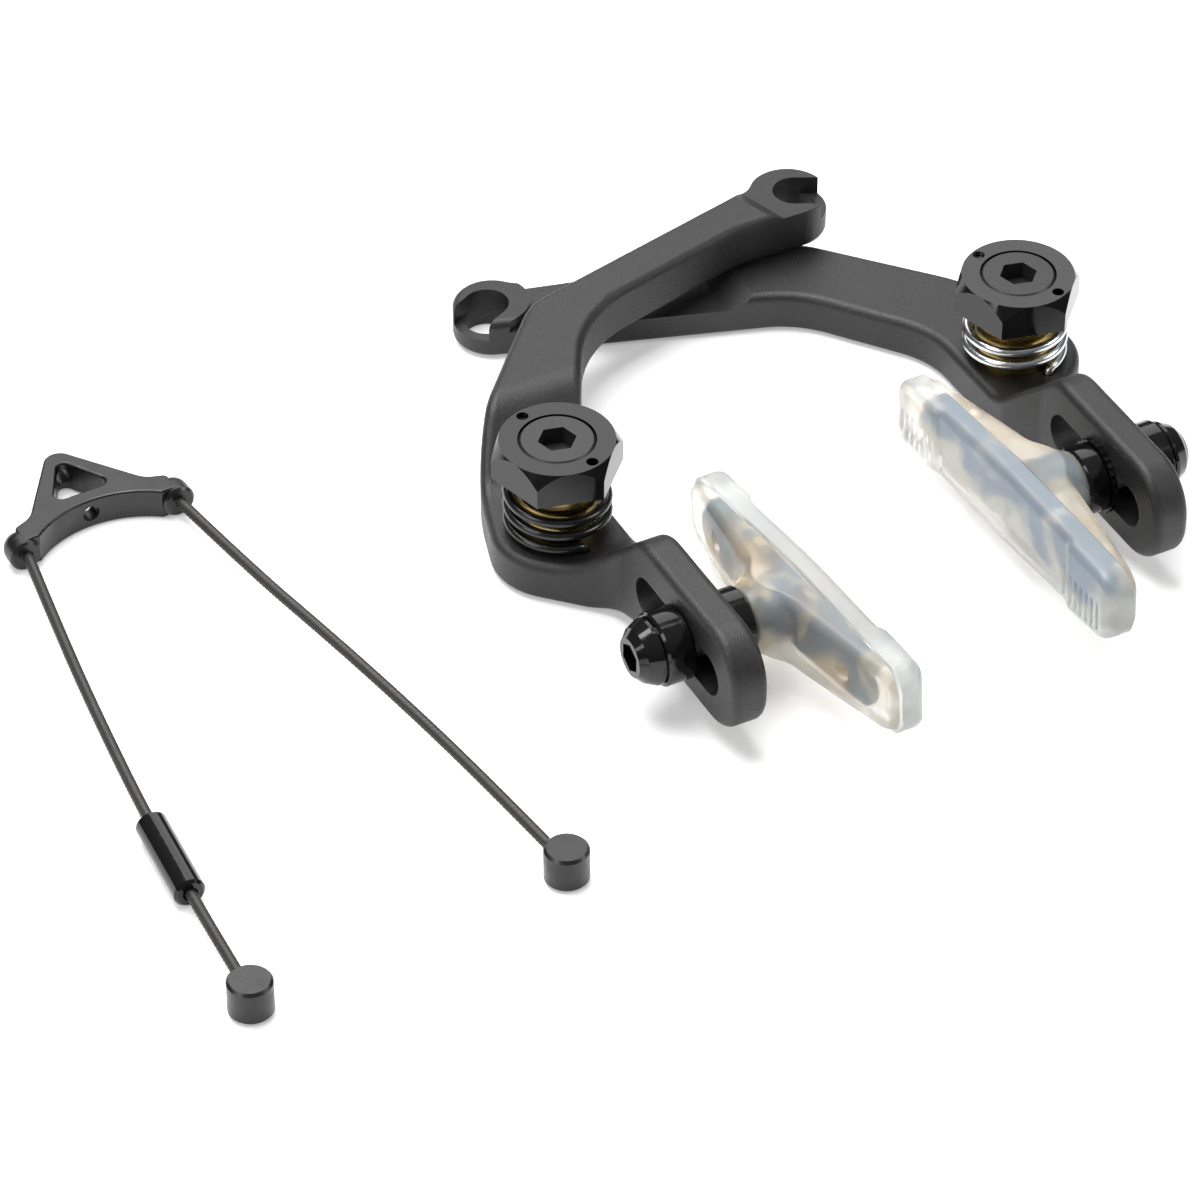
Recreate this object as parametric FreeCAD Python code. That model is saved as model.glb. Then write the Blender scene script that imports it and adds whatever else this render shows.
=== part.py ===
import FreeCAD, Part
import math
import os

V = FreeCAD.Vector

# Pivots and levels. Heights start at the back face. The part's origin is on the frame's boss plane.
pivot_spacing = 80.0
boss_plane = 6.0
arm_thickness = 6.6
level_gap = 0.4
upper_thickness = 8.0
rest_turn = -3.5
edge_round = 1.3

# Arm outline, in the arm's own plan: pivot at 0,0, wheel side at +u, cable side at +y.
boss_radius = 10.0
boss_inner = 8.5
outer_tangent = 162.8
foot_tangent = 225.0
shoulder_u, shoulder_y, shoulder_round = -5.5, 16.3, 40.0
bend_u, bend_y, bend_round = 15.25, 39.75, 10.0
hook_u, hook_y = 64.4, 47.8
hook_radius = 6.0
hook_neck_u, hook_neck_y, hook_neck_round = -5.46, 3.03, 3.0
upper_inner = [(52.4, 41.8, 12.0), (21.5, 33.8, 22.0), (boss_inner, 9.5, 18.0)]
lower_inner = [(22.1, 27.8, 16.0), (boss_inner, 10.3, 14.0)]
inner_flare_start, inner_flare_end, inner_flare_round = -11.0, -19.0, 6.0

# Ramp that lifts the upper arm over the lower one.
ramp_top_start, ramp_top_end = 11.5, 20.5
ramp_under_start, ramp_under_end = 15.5, 25.5
ramp_round = 6.0

# Slot plate that carries the pad.
plate_outer_u = 1.3
plate_thickness = 5.6
plate_bottom = 3.0
plate_height = 16.1
plate_end = -51.5
plate_top_round, plate_low_round = 7.5, 7.0
plate_rise_start, plate_rise_end = -9.2, -22.5
plate_foot_start, plate_foot_end = -12.0, -22.0
plate_foot_round = 6.0
slot_width = 6.5
slot_top, slot_low = -22.0, -46.7
stud_y, stud_z = -35.5, 10.6

# Hook pocket for a cable barrel.
barrel_radius = 3.2
barrel_height = 5.6
barrel_clearance = 0.25
mouth_angle = -27.0
pocket_shift_u, pocket_shift_y = 1.0, -0.3
wire_radius = 0.85
hook_step_depth, hook_step_run = 1.0, 2.2
hook_step_u, hook_step_lean = 56.2, 18.0
neck_relief, neck_relief_u, neck_relief_run = 2.0, 28.0, 4.0
neck_head_radius = 5.9

# Pivot sleeve, bolt, tension nut and spring.
sleeve_radius = 6.0
sleeve_bore = 4.55
sleeve_top = 15.8
running_clearance = 0.04
bolt_radius = 3.0
bolt_length, thread_length = 20.8, 12.0
shank_radius = 2.7
head_radius, head_height = 5.6, 4.0
head_chamfer = 0.35
pivot_key, pivot_key_depth = 5.0, 2.8
nut_flats, nut_height = 17.0, 5.4
nut_chamfer_angle = 30.0
nut_corner_angle = 42.6
nut_bore_clearance, head_clearance, seat_clearance = 0.2, 0.15, 0.06
nut_lift = {"left": 1.1, "right": 0.1}
spring_radius = 7.3
spring_wire = 1.5
spring_hole_clearance = 0.15
spring_pitch = 2.45
spring_leg_depth = 3.0
spring_arm_angle = {"left": -89.0, "right": -78.0}
nut_hole_angle = {"left": 103.0, "right": 110.0}
spring_base = 0.1
spring_turns = 2

# Pad hardware along the stud, from the wheel side outwards.
stud_radius = 2.95
stud_running = 0.06
washer_radius, washer_thickness, washer_teeth = 5.7, 0.8, 30
washer_tooth_depth = 0.25
inner_spacer_radius, inner_spacer_length = 5.2, 3.4
outer_spacer_radius, outer_spacer_length = 5.5, 4.4
spacer_edge = 0.35
cap_radius, cap_crown_radius, cap_tip_radius = 4.95, 4.1, 3.0
cap_neck_radius, cap_neck, cap_band, cap_crown, cap_tip = 4.6, 0.35, 0.5, 1.7, 1.05
cap_key, cap_key_depth = 4.0, 1.8
cap_tube_radius, cap_tube_length = 4.1, 3.8
stud_in_cap = 1.2
slide_clearance = 0.05

# Brake pad, moulded on a steel backing plate.
pad_length, pad_height, pad_end_height = 61.4, 13.2, 10.8
pad_belly_round = 300.0
pad_turn = {"left": -6.0, "right": -3.7}
pad_face_u = 24.0
pad_slab = 4.4
pad_end_step, pad_end_length, pad_step_run = 0.7, 11.0, 2.0
pad_end_round, pad_corner_round = 2.0, 3.4
pad_back_u, pad_back_end_u, pad_back_half, pad_back_round = 15.0, 18.6, 7.0, 6.0
pad_shelf, collar_shelf = 1.1, 0.4
collar_radius, collar_flare, collar_end_u = 5.4, 8.6, 16.5
pad_edge_round = 0.9
backing_length, backing_height, backing_thickness = 50.0, 7.0, 1.6
backing_u = 18.9
post_radius, post_setback = 3.9, 0.8

# Straddle cable laid out beside the brake.
hanger_x, hanger_y, hanger_turn = -95.2, 39.15, -0.5
hanger_thickness = 5.0
hanger_apex, hanger_apex_round = 16.9, 2.4
hanger_waist_s, hanger_waist_t, hanger_waist_round = 9.36, 3.33, 4.0
hanger_arch_radius, hanger_arch_crown = 16.0, 2.25
hanger_half_span, hanger_lug_low, hanger_lug_high = 12.45, -2.0, 0.3
hanger_shoulder, hanger_shoulder_round, hanger_foot = 2.2, 1.0, -1.2
window_low, window_high, window_half, window_round = 4.7, 13.5, 4.9, 1.2
cable_hole_radius = 1.3
hanger_edge = 0.35
crimp_radius, crimp_length = 2.3, 15.6
crimp_clearance = 0.25
crimp_start = 0.12
wire_hole_clearance = 0.05
barrel_edge = 0.4
barrel_at = {"left": (-122.7, -60.0), "right": (-73.6, -59.4)}
left_route = [(-107.2, 38.9, 2.5), (-111.6, 17.9, 2.6), (-115.1, -1.0, 2.6),
              (-118.2, -20.5, 2.35), (-120.5, -39.6, 2.35), (-122.5, -58.4, 2.8)]
right_route = [(-82.9, 39.4, 2.5), (-81.1, 17.7, 2.6), (-78.7, -1.0, 2.9),
               (-76.5, -19.5, 2.8), (-74.85, -38.9, 2.8), (-73.8, -57.8, 2.8)]
bend_share = 0.45

# Sizes that follow from those above.
upper_bottom = arm_thickness + level_gap
upper_top = upper_bottom + upper_thickness
plate_inner_u = plate_outer_u + plate_thickness
plate_top = plate_bottom + plate_height
pocket_radius = barrel_radius + barrel_clearance
spring_hole_radius = spring_wire / 2 + spring_hole_clearance
washer_u = plate_inner_u + slide_clearance
spacer_u = washer_u + washer_thickness
pad_u = spacer_u + inner_spacer_length + slide_clearance
cap_u = plate_outer_u - slide_clearance - outer_spacer_length
stud_end_u = cap_u - stud_in_cap
routes = {"left": left_route, "right": right_route}
SIDES = ("left", "right")


def unit(vector):
    """The vector scaled to length 1."""
    return vector * (1.0 / vector.Length)


def rounded_outline(corners, place):
    """Closed wire through corners (a, b, radius): straight runs joined by tangent arcs."""
    points = [V(a, b, 0) for a, b, radius in corners]
    count = len(corners)
    arcs = []
    for i in range(count):
        corner = points[i]
        back = unit(points[i - 1] - corner)
        ahead = unit(points[(i + 1) % count] - corner)
        radius = corners[i][2]
        half = back.getAngle(ahead) / 2
        reach = radius / math.tan(half)
        inward = unit(back + ahead)
        middle = corner + inward * (radius / math.sin(half) - radius)
        arcs.append((corner + back * reach, middle, corner + ahead * reach, radius))
    edges = []
    for i in range(count):
        first, middle, last, radius = arcs[i]
        if radius > 0:
            edges.append(Part.Arc(place(first), place(middle), place(last)).toShape())
        following = arcs[(i + 1) % count][0]
        if last.distanceToPoint(following) > 1e-6:
            edges.append(Part.LineSegment(place(last), place(following)).toShape())
    return Part.Wire(edges)


def plan_prism(corners, low, high):
    """Prism of an outline in plan, between two heights."""
    wire = rounded_outline(corners, lambda p: V(p.x, p.y, low))
    return Part.Face(wire).extrude(V(0, 0, high - low))


def side_prism(corners, near, far):
    """Prism of an outline in side view (y, z), between two values of u."""
    wire = rounded_outline(corners, lambda p: V(near, p.x, p.y))
    return Part.Face(wire).extrude(V(far - near, 0, 0))


def turned(profile, origin, axis):
    """Solid of revolution of a profile of (radius, distance along the axis) points."""
    points = [V(r, 0, h) for r, h in profile]
    face = Part.Face(Part.makePolygon(points + points[:1]))
    solid = face.revolve(V(0, 0, 0), V(0, 0, 1), 360)
    solid.Placement = FreeCAD.Placement(origin, FreeCAD.Rotation(V(0, 0, 1), axis))
    return solid


def rod(radius, start, end):
    """Cylinder from one point to another."""
    return Part.makeCylinder(radius, start.distanceToPoint(end), start, end - start)


def hexagon(flats, depth, origin, axis, turn):
    """Hexagonal prism with the given distance across its flats."""
    corner = flats / math.sqrt(3)
    angles = [math.radians(turn + 60 * i) for i in range(7)]
    points = [V(corner * math.cos(a), corner * math.sin(a), 0) for a in angles]
    prism = Part.Face(Part.makePolygon(points)).extrude(V(0, 0, depth))
    prism.Placement = FreeCAD.Placement(origin, FreeCAD.Rotation(V(0, 0, 1), axis))
    return prism


def circle_corner(radius, first, last):
    """Corner where the tangents at two angles of the pivot circle meet, rounded to that circle."""
    middle = math.radians((first + last) / 2)
    reach = radius / math.cos(math.radians(last - first) / 2)
    return (reach * math.cos(middle), reach * math.sin(middle), radius)


def hook_corners(before, after):
    """Three corners that carry the outline round the hook, tangent from one point to another."""
    centre = V(hook_u, hook_y, 0)
    coming = centre - V(before[0], before[1], 0)
    start = math.degrees(math.atan2(coming.y, coming.x) + math.asin(hook_radius / coming.Length)) + 90
    leaving = centre - V(after[0], after[1], 0)
    end = math.degrees(math.atan2(leaving.y, leaving.x) - math.asin(hook_radius / leaving.Length)) - 90
    step = (start - end) / 3
    reach = hook_radius / math.cos(math.radians(step / 2))
    angles = [math.radians(start - step * (i + 0.5)) for i in range(3)]
    return [(hook_u + reach * math.cos(a), hook_y + reach * math.sin(a), hook_radius) for a in angles]


def arm_plan(inner):
    """Corners of an arm in plan: boss, outer edge, hook, inner edge and slot plate."""
    neck = (hook_u + hook_neck_u, hook_y + hook_neck_y, hook_neck_round)
    foot = circle_corner(boss_radius, outer_tangent, foot_tangent)
    fall = math.radians(foot_tangent)
    foot_end = (boss_radius - plate_outer_u * math.cos(fall)) / math.sin(fall)
    beyond = plate_end - 5
    corners = [foot, (shoulder_u, shoulder_y, shoulder_round), (bend_u, bend_y, bend_round), neck]
    corners += hook_corners(neck, inner[0])
    corners += inner
    corners += [(boss_inner, inner_flare_start, inner_flare_round),
                (plate_inner_u, inner_flare_end, inner_flare_round),
                (plate_inner_u, beyond, 0), (plate_outer_u, beyond, 0),
                (plate_outer_u, foot_end, inner_flare_round)]
    return corners


def arm_side(upper):
    """Corners of an arm in side view: plate, shoulder, boss and, on the upper arm, the ramp."""
    reach = hook_y + hook_radius + 5
    corners = [(plate_end, plate_bottom, plate_low_round), (plate_end, plate_top, plate_top_round),
               (plate_rise_end, plate_top, plate_foot_round),
               (plate_rise_start, arm_thickness, plate_foot_round)]
    if upper:
        corners += [(ramp_top_start, arm_thickness, ramp_round), (ramp_top_end, upper_top, ramp_round),
                    (reach, upper_top, 0), (reach, upper_bottom, 0),
                    (ramp_under_end, upper_bottom, ramp_round), (ramp_under_start, 0, ramp_round)]
    else:
        corners += [(reach, arm_thickness, 0), (reach, 0, 0)]
    corners += [(plate_foot_start, 0, plate_foot_round), (plate_foot_end, plate_bottom, plate_foot_round)]
    return corners


def hook_cut(low, high):
    """Pocket for the cable barrel, with a low wall at its mouth that the wire leaves over."""
    centre = V(hook_u + pocket_shift_u, hook_y + pocket_shift_y, low)
    half = (high - low) / 2
    reach = 2 * hook_radius
    pocket = Part.makeCylinder(pocket_radius, 2 * half, centre)
    mouth = Part.makeBox(reach, 2 * pocket_radius, half, V(0, -pocket_radius, half))
    mouth.Placement = FreeCAD.Placement(centre, FreeCAD.Rotation(V(0, 0, 1), mouth_angle))
    return [pocket, mouth]


def arm(side):
    """One forged arm in its own plan, with its bore, slot, hook and spring hole."""
    upper = side == "left"
    inner = upper_inner if upper else lower_inner
    low, high = (upper_bottom, upper_top) if upper else (0, arm_thickness)
    blank = plan_prism(arm_plan(inner), -1, plate_top + 1)
    body = blank.common(side_prism(arm_side(upper), -3 * boss_radius, hook_u + 3 * hook_radius))
    rims = [e for e in body.Edges if not is_upright(e)]
    body = body.makeFillet(edge_round, rims)
    cuts = hook_cut(low - 1, high + 1)
    cuts.append(Part.makeCylinder(sleeve_radius + running_clearance, arm_thickness + 2, V(0, 0, -1)))
    half = slot_width / 2
    slot = [(slot_top, stud_z - half, half), (slot_top, stud_z + half, half),
            (slot_low, stud_z + half, half), (slot_low, stud_z - half, half)]
    cuts.append(side_prism(slot, plate_outer_u - 1, plate_inner_u + 1))
    cuts.append(hook_step() if upper else neck_hollow())
    return body.cut(cuts)


def hook_step():
    """Sloped step that lowers the top face at the hook."""
    size = 4 * hook_radius
    points = [V(0, -size, 0), V(hook_step_run, -size, -hook_step_depth), V(size, -size, -hook_step_depth),
              V(size, -size, hook_step_depth), V(0, -size, hook_step_depth), V(0, -size, 0)]
    step = Part.Face(Part.makePolygon(points)).extrude(V(0, 2 * size, 0))
    origin = V(hook_step_u, hook_y, upper_top)
    step.Placement = FreeCAD.Placement(origin, FreeCAD.Rotation(V(0, 0, 1), hook_step_lean))
    return step


def neck_hollow():
    """Hollow in the lower arm's top face where the other arm crosses it, up to the round hook head."""
    size = 4 * hook_radius
    low = arm_thickness - neck_relief
    high = arm_thickness + neck_relief
    profile = [(neck_relief_u, arm_thickness), (neck_relief_u + neck_relief_run, low), (hook_u, low),
               (hook_u, high), (neck_relief_u, high), (neck_relief_u, arm_thickness)]
    points = [V(u, hook_y - size, z) for u, z in profile]
    hollow = Part.Face(Part.makePolygon(points)).extrude(V(0, 2 * size, 0))
    head = Part.makeCylinder(neck_head_radius, 4 * neck_relief, V(hook_u, hook_y, low - neck_relief))
    return hollow.cut(head)


def is_upright(edge):
    """True for an edge that runs straight along Z."""
    first = edge.Vertexes[0].Point
    last = edge.Vertexes[-1].Point
    return abs(first.x - last.x) < 1e-6 and abs(first.y - last.y) < 1e-6


def sleeve():
    """Brass sleeve that the arm turns on, clamped between the tension nut and the frame."""
    top = sleeve_top
    profile = [(sleeve_bore, 0), (sleeve_radius, 0), (sleeve_radius, top), (sleeve_bore, top)]
    return turned(profile, V(0, 0, 0), V(0, 0, 1))


def nut_bottom(side):
    """Height of a tension nut's lower face."""
    return sleeve_top + nut_lift[side]


def bolt(side):
    """Pivot bolt: low round head flush with the nut, hex socket, waisted shank and threaded end."""
    top = nut_bottom(side) + nut_height
    under = top - head_height
    tip = top - bolt_length
    runout = tip + thread_length
    profile = [(0, tip), (bolt_radius - head_chamfer, tip), (bolt_radius, tip + head_chamfer),
               (bolt_radius, runout), (shank_radius, runout + head_chamfer), (shank_radius, under),
               (head_radius, under), (head_radius, top - head_chamfer), (head_radius - head_chamfer, top),
               (0, top)]
    floor = V(0, 0, top - pivot_key_depth)
    socket = hexagon(pivot_key, pivot_key_depth, floor, V(0, 0, 1), nut_corner_angle)
    return turned(profile, V(0, 0, 0), V(0, 0, 1)).cut(socket)


def tension_nut(side):
    """Hexagonal tension nut, chamfered to a round top, with a counterbore and two spring holes."""
    low = nut_bottom(side)
    top = low + nut_height
    flat = nut_flats / 2
    corner = nut_flats / math.sqrt(3)
    drop = (corner - flat) / math.tan(math.radians(nut_chamfer_angle))
    blank = turned([(0, low), (corner, low), (corner, top - drop), (flat, top), (0, top)],
                   V(0, 0, 0), V(0, 0, 1))
    body = hexagon(nut_flats, nut_height, V(0, 0, low), V(0, 0, 1), nut_corner_angle).common(blank)
    floor = top - head_height - seat_clearance
    cuts = [Part.makeCylinder(bolt_radius + nut_bore_clearance, nut_height, V(0, 0, low)),
            Part.makeCylinder(head_radius + head_clearance, nut_height, V(0, 0, floor))]
    for turn in (0, 180):
        centre = polar(spring_radius, nut_hole_angle[side] + turn, low)
        cuts.append(Part.makeCylinder(spring_hole_radius, nut_height, centre))
    return body.cut(cuts)


def polar(radius, angle, height):
    """Point at a radius and an angle in degrees about the pivot axis."""
    return V(radius * math.cos(math.radians(angle)), radius * math.sin(math.radians(angle)), height)


def half_turn(index, low, hand, sweep):
    """Stretch of the coil: wire swept round a circle that leans, so that opposite ends differ in height."""
    way = 1 if index % 2 == 0 else -1
    rise = spring_pitch / 4
    centre = V(0, 0, low + rise)
    axis = V(way * rise, 0, spring_radius) * hand
    start = V(way * spring_radius, 0, low)
    section = Part.Face(Part.Wire(Part.Circle(start, V(0, 1, 0), spring_wire / 2).toShape()))
    turn = FreeCAD.Rotation(axis, sweep)
    return section.revolve(centre, axis, sweep), centre + turn.multVec(start - centre)


def spring(side):
    """Return spring: a coil round the sleeve, one leg down into the arm and one up into the nut."""
    hand = -1 if side == "left" else 1
    start = spring_arm_angle[side]
    sweep = (hand * (nut_hole_angle[side] - start)) % 360 + 360 * spring_turns
    wire = spring_wire / 2
    low = arm_thickness + spring_base + wire
    first = V(spring_radius, 0, low)
    down = V(spring_radius, 0, arm_thickness - spring_leg_depth)
    pieces = [Part.makeSphere(wire, first), rod(wire, first, down)]
    for index in range(math.ceil(sweep / 180)):
        share = min(180, sweep - 180 * index)
        stretch, last = half_turn(index, low + index * spring_pitch / 2, hand, share)
        pieces.append(stretch)
    up = V(last.x, last.y, nut_bottom(side) + nut_height - wire)
    pieces += [Part.makeSphere(wire, last), rod(wire, last, up)]
    body = pieces[0].fuse(pieces[1:])
    body.rotate(V(0, 0, 0), V(0, 0, 1), start)
    return body


def spring_hole(side):
    """Hole in the arm's boss for the lower leg of the spring, in the frame of the pivot."""
    start = polar(spring_radius, spring_arm_angle[side], arm_thickness - spring_leg_depth)
    return Part.makeCylinder(spring_hole_radius, arm_thickness, start)


def on_stud(profile):
    """Solid of revolution about the stud, from (radius, u) points."""
    return turned(profile, V(0, stud_y, stud_z), V(1, 0, 0))


def ring(bore, radius, start, length):
    """Ring round the stud with bevelled outer edges."""
    edge = spacer_edge
    end = start + length
    return on_stud([(bore, start), (radius - edge, start), (radius, start + edge), (radius, end - edge),
                    (radius - edge, end), (bore, end)])


def washer():
    """Toothed lock washer between the slot plate and the inner spacer."""
    bore = stud_radius + stud_running
    steps = range(2 * washer_teeth + 1)
    radii = [washer_radius - washer_tooth_depth * (i % 2) for i in steps]
    angles = [math.pi * i / washer_teeth for i in steps]
    rim = zip(radii, angles)
    points = [V(washer_u, stud_y + r * math.cos(a), stud_z + r * math.sin(a)) for r, a in rim]
    disc = Part.Face(Part.makePolygon(points)).extrude(V(washer_thickness, 0, 0))
    return disc.cut(Part.makeCylinder(bore, washer_thickness, V(washer_u, stud_y, stud_z), V(1, 0, 0)))


def inner_spacer():
    """Spacer between the lock washer and the pad."""
    return ring(stud_radius + stud_running, inner_spacer_radius, spacer_u, inner_spacer_length)


def outer_spacer():
    """Spacer on the outside of the slot plate."""
    return ring(cap_tube_radius + stud_running, outer_spacer_radius, cap_u, outer_spacer_length)


def cap_nut():
    """Domed cap nut with a hex socket, its threaded tube inside the outer spacer."""
    bore = stud_radius + stud_running
    tube = cap_u + cap_tube_length
    band = cap_u - cap_neck
    crown = band - cap_band
    shoulder = crown - cap_crown
    tip = shoulder - cap_tip
    end = stud_end_u - slide_clearance
    body = on_stud([(0, end), (bore, end), (bore, tube), (cap_tube_radius, tube), (cap_tube_radius, cap_u),
                    (cap_neck_radius, cap_u), (cap_neck_radius, band), (cap_radius, band),
                    (cap_radius, crown), (cap_crown_radius, shoulder), (cap_tip_radius, tip), (0, tip)])
    return body.cut(hexagon(cap_key, cap_key_depth, V(tip, stud_y, stud_z), V(1, 0, 0), 0))


def stud():
    """Steel backing plate with its welded post and threaded stud."""
    half = backing_length / 2
    high = backing_height / 2
    corners = [(stud_y - half, stud_z - high, high), (stud_y - half, stud_z + high, high),
               (stud_y + half, stud_z + high, high), (stud_y + half, stud_z - high, high)]
    plate = side_prism(corners, backing_u, backing_u + backing_thickness)
    shoulder = pad_u + post_setback
    post = on_stud([(0, backing_u), (post_radius, backing_u), (post_radius, shoulder),
                    (stud_radius, shoulder), (stud_radius, stud_end_u), (0, stud_end_u)])
    return plate.fuse(post).removeSplitter()


def pad_side(inset):
    """Corners of the pad seen along the stud: highest in the middle, with rounded ends."""
    half = pad_length / 2 - inset
    low = stud_z - pad_end_height / 2 + inset
    belly = stud_z - pad_height / 2 + inset
    lower = [(stud_y - half, low, pad_corner_round), (stud_y, belly, pad_belly_round),
             (stud_y + half, low, pad_corner_round)]
    return lower + [(y, 2 * stud_z - z, r) for y, z, r in lower[::-1]]


def pad_layer(outline, inset):
    """Layer of the pad: its outline in plan cut to its outline along the stud, with rounded edges."""
    blank = plan_prism(outline, stud_z - pad_height, stud_z + pad_height)
    layer = blank.common(side_prism(pad_side(inset), pad_u, pad_face_u + pad_slab))
    return layer.makeFillet(pad_edge_round, [e for e in layer.Edges if not is_upright(e)])


def pad():
    """Moulded brake pad: rim slab with raised ends, tapered back and a collar round the stud."""
    half = pad_length / 2
    slab_u = pad_face_u - pad_slab
    low_u = pad_face_u - pad_end_step
    step = half - pad_end_length
    slab = mirrored_outline([(pad_face_u, half, pad_end_round), (pad_face_u, step, pad_end_round),
                             (low_u, step - pad_step_run, pad_end_round)],
                            [(slab_u, half, pad_end_round)])
    back_half = half - pad_shelf
    back = mirrored_outline([(slab_u + pad_slab / 2, back_half, 0)],
                            [(pad_back_end_u, back_half, pad_end_round),
                             (pad_back_u, pad_back_half, pad_back_round)])
    middle = (pad_u + collar_end_u) / 2
    collar = on_stud([(0, pad_u), (collar_radius, pad_u), (collar_radius, middle - pad_shelf),
                      ((collar_radius + collar_flare) / 2, middle + pad_shelf),
                      (collar_flare, collar_end_u), (0, collar_end_u)])
    limit = side_prism(pad_side(pad_shelf + collar_shelf), pad_u, collar_end_u)
    layers = [pad_layer(back, pad_shelf), collar.common(limit)]
    return pad_layer(slab, 0).fuse(layers).removeSplitter().cut(stud())


def mirrored_outline(face, back):
    """Closed outline in plan, the same on both sides of the stud: face corners, then back corners."""
    lower = [(u, stud_y - y, r) for u, y, r in back[::-1] + face]
    upper = [(u, stud_y + y, r) for u, y, r in face[::-1] + back]
    return lower + upper


def hanger():
    """Cable hanger: a triangular plate with a window, an arched foot and two round end lugs."""
    span = hanger_half_span
    half = [(hanger_waist_s, hanger_waist_t, hanger_waist_round),
            (span, hanger_shoulder, hanger_shoulder_round), (span, hanger_foot, 0)]
    outline = [(0, hanger_apex, hanger_apex_round)] + half + [(-s, t, r) for s, t, r in half[::-1]]
    window = [(0, window_high, window_round), (window_half, window_low, window_round),
              (-window_half, window_low, window_round)]
    arch = Part.makeCylinder(hanger_arch_radius, hanger_thickness,
                             V(0, hanger_arch_crown - hanger_arch_radius, 0))
    plate = plan_prism(outline, 0, hanger_thickness).cut([plan_prism(window, 0, hanger_thickness), arch])
    plate = plate.makeFillet(hanger_edge, [e for e in plate.Edges if not is_upright(e)])
    radius = hanger_thickness / 2
    low, high, bevel = hanger_lug_low, hanger_lug_high, hanger_edge
    profile = [(0, low), (radius - bevel, low), (radius, low + bevel), (radius, high), (0, high)]
    lugs = []
    for s in (-span, span):
        lugs.append(turned(profile, V(s, 0, radius), V(0, 1, 0)))
        lugs.append(Part.makeSphere(radius, V(s, high, radius)))
    cable = rod(cable_hole_radius, V(0, 0, radius), V(0, hanger_apex, radius))
    body = plate.fuse(lugs).removeSplitter().cut(cable)
    body.rotate(V(0, 0, 0), V(0, 0, 1), hanger_turn)
    body.translate(V(hanger_x, hanger_y, 0))
    holes = [wire_hole(V(*routes[side][0]), V(*routes[side][1])) for side in SIDES]
    return body.cut(holes)


def wire_hole(end, towards):
    """Hole that takes the end of a wire."""
    return rod(wire_radius + wire_hole_clearance, end, towards)


def wire(side):
    """Straddle wire along its route: straight runs joined by tangent arcs."""
    points = [V(*point) for point in routes[side]]
    edges = []
    start = points[0]
    for before, corner, after in zip(points, points[1:], points[2:]):
        back = unit(before - corner)
        ahead = unit(after - corner)
        half = back.getAngle(ahead) / 2
        reach = bend_share * min(before.distanceToPoint(corner), after.distanceToPoint(corner))
        radius = reach * math.tan(half)
        middle = corner + unit(back + ahead) * (radius / math.sin(half) - radius)
        first = corner + back * reach
        last = corner + ahead * reach
        edges.append(Part.LineSegment(start, first).toShape())
        edges.append(Part.Arc(first, middle, last).toShape())
        print(side, "wire bend radius", round(radius, 1))
        start = last
    edges.append(Part.LineSegment(start, points[-1]).toShape())
    path = Part.Wire(edges)
    section = Part.Wire(Part.Circle(points[0], points[1] - points[0], wire_radius).toShape())
    return path.makePipeShell([section], True, False)


def crimp():
    """Crimp sleeve on the left wire."""
    first, last = V(*left_route[3]), V(*left_route[4])
    along = unit(last - first)
    start = first + (last - first) * crimp_start
    bore, bevel, end = wire_radius + crimp_clearance, barrel_edge, crimp_length
    profile = [(bore, 0), (crimp_radius - bevel, 0), (crimp_radius, bevel), (crimp_radius, end - bevel),
               (crimp_radius - bevel, end), (bore, end)]
    return turned(profile, start, along)


def barrel(side):
    """Barrel end of a straddle wire, which drops into an arm's hook."""
    x, y = barrel_at[side]
    inner = barrel_radius - barrel_edge
    top = barrel_height
    profile = [(0, 0), (inner, 0), (barrel_radius, barrel_edge), (barrel_radius, top - barrel_edge),
               (inner, top), (0, top)]
    end, before = V(*routes[side][-1]), V(*routes[side][-2])
    return turned(profile, V(x, y, 0), V(0, 0, 1)).cut(wire_hole(end, before))


def at_pivot(shape, side):
    """Move a shape built about the Z axis to its pivot."""
    moved = shape.copy()
    moved.translate(V(pivot_spacing / 2 * (1 if side == "right" else -1), 0, 0))
    return moved


def on_swivel(shape, side):
    """Turn a shape about the stud to the angle at which that side's pad lies."""
    moved = shape.copy()
    moved.rotate(V(0, stud_y, stud_z), V(1, 0, 0), pad_turn[side])
    return moved


def on_arm(shape, side):
    """Move a shape from an arm's own plan to its place, mirrored for the right arm."""
    moved = shape.mirror(V(0, 0, 0), V(1, 0, 0)) if side == "right" else shape.copy()
    moved.rotate(V(0, 0, 0), V(0, 0, 1), rest_turn)
    return at_pivot(moved, side)


os.makedirs("parts", exist_ok=True)
pieces = {"hanger": hanger(), "crimp_sleeve": crimp()}
hardware = {"inner_washer": washer(), "inner_spacer": inner_spacer(), "outer_spacer": outer_spacer(),
            "cap_nut": cap_nut()}
turning = {"pad_stud": stud(), "pad": pad()}
for name in SIDES:
    pieces[name + "_arm"] = on_arm(arm(name), name).cut(at_pivot(spring_hole(name), name))
    pieces[name + "_pivot_sleeve"] = at_pivot(sleeve(), name)
    pieces[name + "_pivot_bolt"] = at_pivot(bolt(name), name)
    pieces[name + "_tension_nut"] = at_pivot(tension_nut(name), name)
    pieces[name + "_spring"] = at_pivot(spring(name), name)
    pieces[name + "_wire"] = wire(name)
    pieces[name + "_barrel"] = barrel(name)
    for item in hardware:
        pieces[name + "_" + item] = on_arm(hardware[item], name)
    for item in turning:
        pieces[name + "_" + item] = on_arm(on_swivel(turning[item], name), name)
for name in sorted(pieces):
    shape = pieces[name]
    shape.translate(V(0, 0, -boss_plane))
    print(name, shape.isValid(), len(shape.Solids), round(shape.Volume, 1))
    shape.exportStep("parts/" + name + ".step")
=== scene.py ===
import math

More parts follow.
